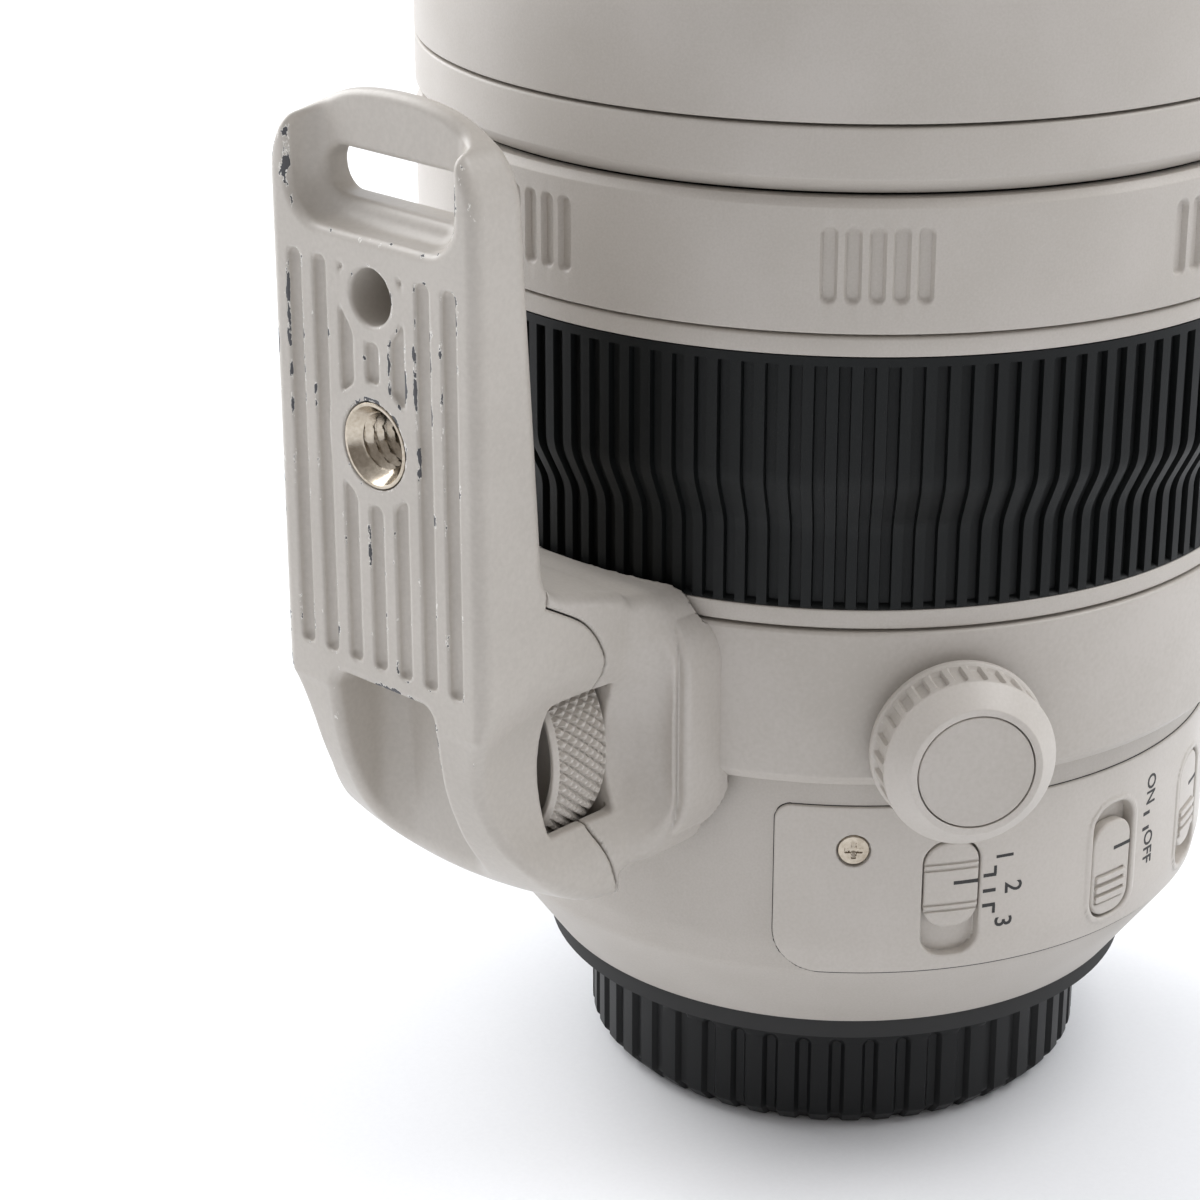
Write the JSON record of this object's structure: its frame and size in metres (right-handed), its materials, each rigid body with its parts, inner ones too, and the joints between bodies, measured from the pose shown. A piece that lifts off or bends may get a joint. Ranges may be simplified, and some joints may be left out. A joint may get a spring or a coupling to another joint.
{
  "type": "camera zoom lens",
  "caption": "Pale telephoto zoom lens on its rear cap: turning grip rings, an extending front barrel, slide switches and a rotating collar with a tripod foot, lock knob and thumbwheel.",
  "frame": {"origin": "on the lens axis, at the base of the rear cap that the lens stands on", "axes": "+Z along the lens axis towards the front, -Y towards the tripod foot, +X towards the switches"},
  "size_m": [0.0938, 0.1169, 0.2221],
  "materials": {
    "pale_paint": "matt textured paint on a light alloy casting",
    "foot_paint": "satin paint on a light alloy casting, worn at the edges",
    "pale_plastic": "fine moulded texture",
    "grip_rubber": "matt ribbed rubber",
    "seal_rubber": "matt",
    "black_plastic": "satin moulded",
    "black_alloy": "black anodised",
    "bare_alloy": "turned",
    "control_alloy": "knurled and anodised",
    "mount_plate": "satin plated brass",
    "nickel": "bright nickel",
    "steel": "ground",
    "gilt": "gold plated",
    "board": "coated board",
    "felt": "flocked",
    "glass": "coated optical glass"
  },
  "bodies": {
    "barrel": {"mount_ring": "mount_plate", "mount_seal": "seal_rubber", "mount_screws": "steel", "contact_block": "black_plastic", "contact_pins": "gilt", "rear_cell": "black_alloy", "rear_element": "glass", "rear_barrel": "pale_plastic", "switch_panel": "pale_plastic", "panel_screws": "nickel", "switch_board": "board", "main_board": "board", "base_plate": "black_alloy", "stabiliser_base": "black_plastic", "guide_barrel": "bare_alloy", "main_barrel": "black_alloy", "front_sleeve": "black_plastic", "index_band": "pale_plastic", "front_shell": "pale_plastic", "trim_ring": "pale_plastic", "dust_seal": "felt", "rod_plates": "black_plastic", "guide_rods": "steel", "focus_motor": "black_plastic", "iris_unit": "black_plastic"},
    "zoom_ring": {"zoom_sleeve": "pale_plastic", "zoom_grip": "grip_rubber", "zoom_key": "steel", "cam_barrel": "bare_alloy"},
    "front_barrel": {"front_tube": "pale_plastic", "front_rollers": "steel", "nose": "pale_plastic", "front_cell": "black_alloy", "front_elements": "glass", "front_ring": "black_plastic"},
    "zoom_group": {"zoom_cell": "black_plastic", "zoom_rollers": "steel", "zoom_element": "glass"},
    "focus_group": {"focus_cell": "black_plastic", "focus_element": "glass"},
    "shift_frame": {"stabiliser_frame": "bare_alloy"},
    "shift_cell": {"stabiliser_cell": "black_plastic", "stabiliser_element": "glass"},
    "torque_ring": {"torque_ring": "pale_plastic"},
    "focus_ring": {"focus_sleeve": "black_plastic", "focus_grip": "grip_rubber"},
    "control_ring": {"control_ring": "control_alloy"},
    "collar": {"collar": "pale_paint", "foot": "foot_paint", "tripod_bush": "nickel"},
    "lock_knob": {"lock_knob": "pale_plastic", "knob_disc": "pale_plastic"},
    "brake_shoe": {"brake_shoe": "black_plastic"},
    "thumbwheel": {"thumbwheel": "pale_paint"},
    "mode_switch": {"mode_switch": "pale_plastic"},
    "stabiliser_switch": {"stabiliser_switch": "pale_plastic"},
    "focus_switch": {"focus_switch": "pale_plastic"},
    "range_switch": {"range_switch": "pale_plastic"},
    "rear_cap": {"rear_cap": "black_plastic"}
  },
  "joints": [
    {"name": "zoom_turn", "type": "hinge", "parent": "barrel", "child": "zoom_ring", "pos_m": [0, 0, 0.082], "axis": [0, 0, 1], "range_deg": [0, 80]},
    {"name": "front_slide", "type": "slide", "parent": "barrel", "child": "front_barrel", "axis": [0, 0, 1], "range_m": [0, 0.086]},
    {"name": "zoom_group_slide", "type": "slide", "parent": "barrel", "child": "zoom_group", "axis": [0, 0, 1], "range_m": [0, 0.018]},
    {"name": "focus_group_slide", "type": "slide", "parent": "barrel", "child": "focus_group", "axis": [0, 0, 1], "range_m": [0, 0.02]},
    {"name": "shift_x", "type": "slide", "parent": "barrel", "child": "shift_frame", "axis": [1, 0, 0], "range_m": [-0.0008, 0.0008]},
    {"name": "shift_y", "type": "slide", "parent": "shift_frame", "child": "shift_cell", "axis": [0, 1, 0], "range_m": [-0.0008, 0.0008]},
    {"name": "torque_turn", "type": "hinge", "parent": "barrel", "child": "torque_ring", "pos_m": [0, 0, 0.1047], "axis": [0, 0, 1], "range_deg": [0, 40]},
    {"name": "focus_turn", "type": "hinge", "parent": "barrel", "child": "focus_ring", "pos_m": [0, 0, 0.161], "axis": [0, 0, 1], "continuous": true},
    {"name": "control_turn", "type": "hinge", "parent": "barrel", "child": "control_ring", "pos_m": [0, 0, 0.176], "axis": [0, 0, 1], "continuous": true},
    {"name": "collar_turn", "type": "hinge", "parent": "barrel", "child": "collar", "pos_m": [0, 0, 0.0575], "axis": [0, 0, 1], "continuous": true},
    {"name": "lock_turn", "type": "hinge", "parent": "collar", "child": "lock_knob", "pos_m": [0.03709, -0.02636, 0.0548], "axis": [0.8151, -0.5793, 0], "range_deg": [0, 270]},
    {"name": "shoe_slide", "type": "slide", "parent": "collar", "child": "brake_shoe", "axis": [0.8151, -0.5793, 0], "range_m": [0, 0.0005]},
    {"name": "wheel_turn", "type": "hinge", "parent": "collar", "child": "thumbwheel", "pos_m": [0, -0.054, 0.0545], "axis": [0, -1, 0], "range_deg": [0, 720]},
    {"name": "mode_slide", "type": "slide", "parent": "barrel", "child": "mode_switch", "axis": [0, 0, 1], "range_m": [-0.0032, 0]},
    {"name": "stabiliser_slide", "type": "slide", "parent": "barrel", "child": "stabiliser_switch", "axis": [0, 0, 1], "range_m": [0, 0.002]},
    {"name": "focus_mode_slide", "type": "slide", "parent": "barrel", "child": "focus_switch", "axis": [0, 0, 1], "range_m": [-0.002, 0]},
    {"name": "range_slide", "type": "slide", "parent": "barrel", "child": "range_switch", "axis": [0, 0, 1], "range_m": [-0.0016, 0.0016]},
    {"name": "cap_twist", "type": "hinge", "parent": "barrel", "child": "rear_cap", "pos_m": [0, 0, 0.007], "axis": [0, 0, 1], "range_deg": [0, 60]}
  ],
  "couplings": [
    {"joint": "front_slide", "follows": "zoom_turn", "m_per_rad": 0.06159},
    {"joint": "zoom_group_slide", "follows": "zoom_turn", "m_per_rad": 0.01289},
    {"joint": "shoe_slide", "follows": "lock_turn", "m_per_rad": 0.000106}
  ]
}
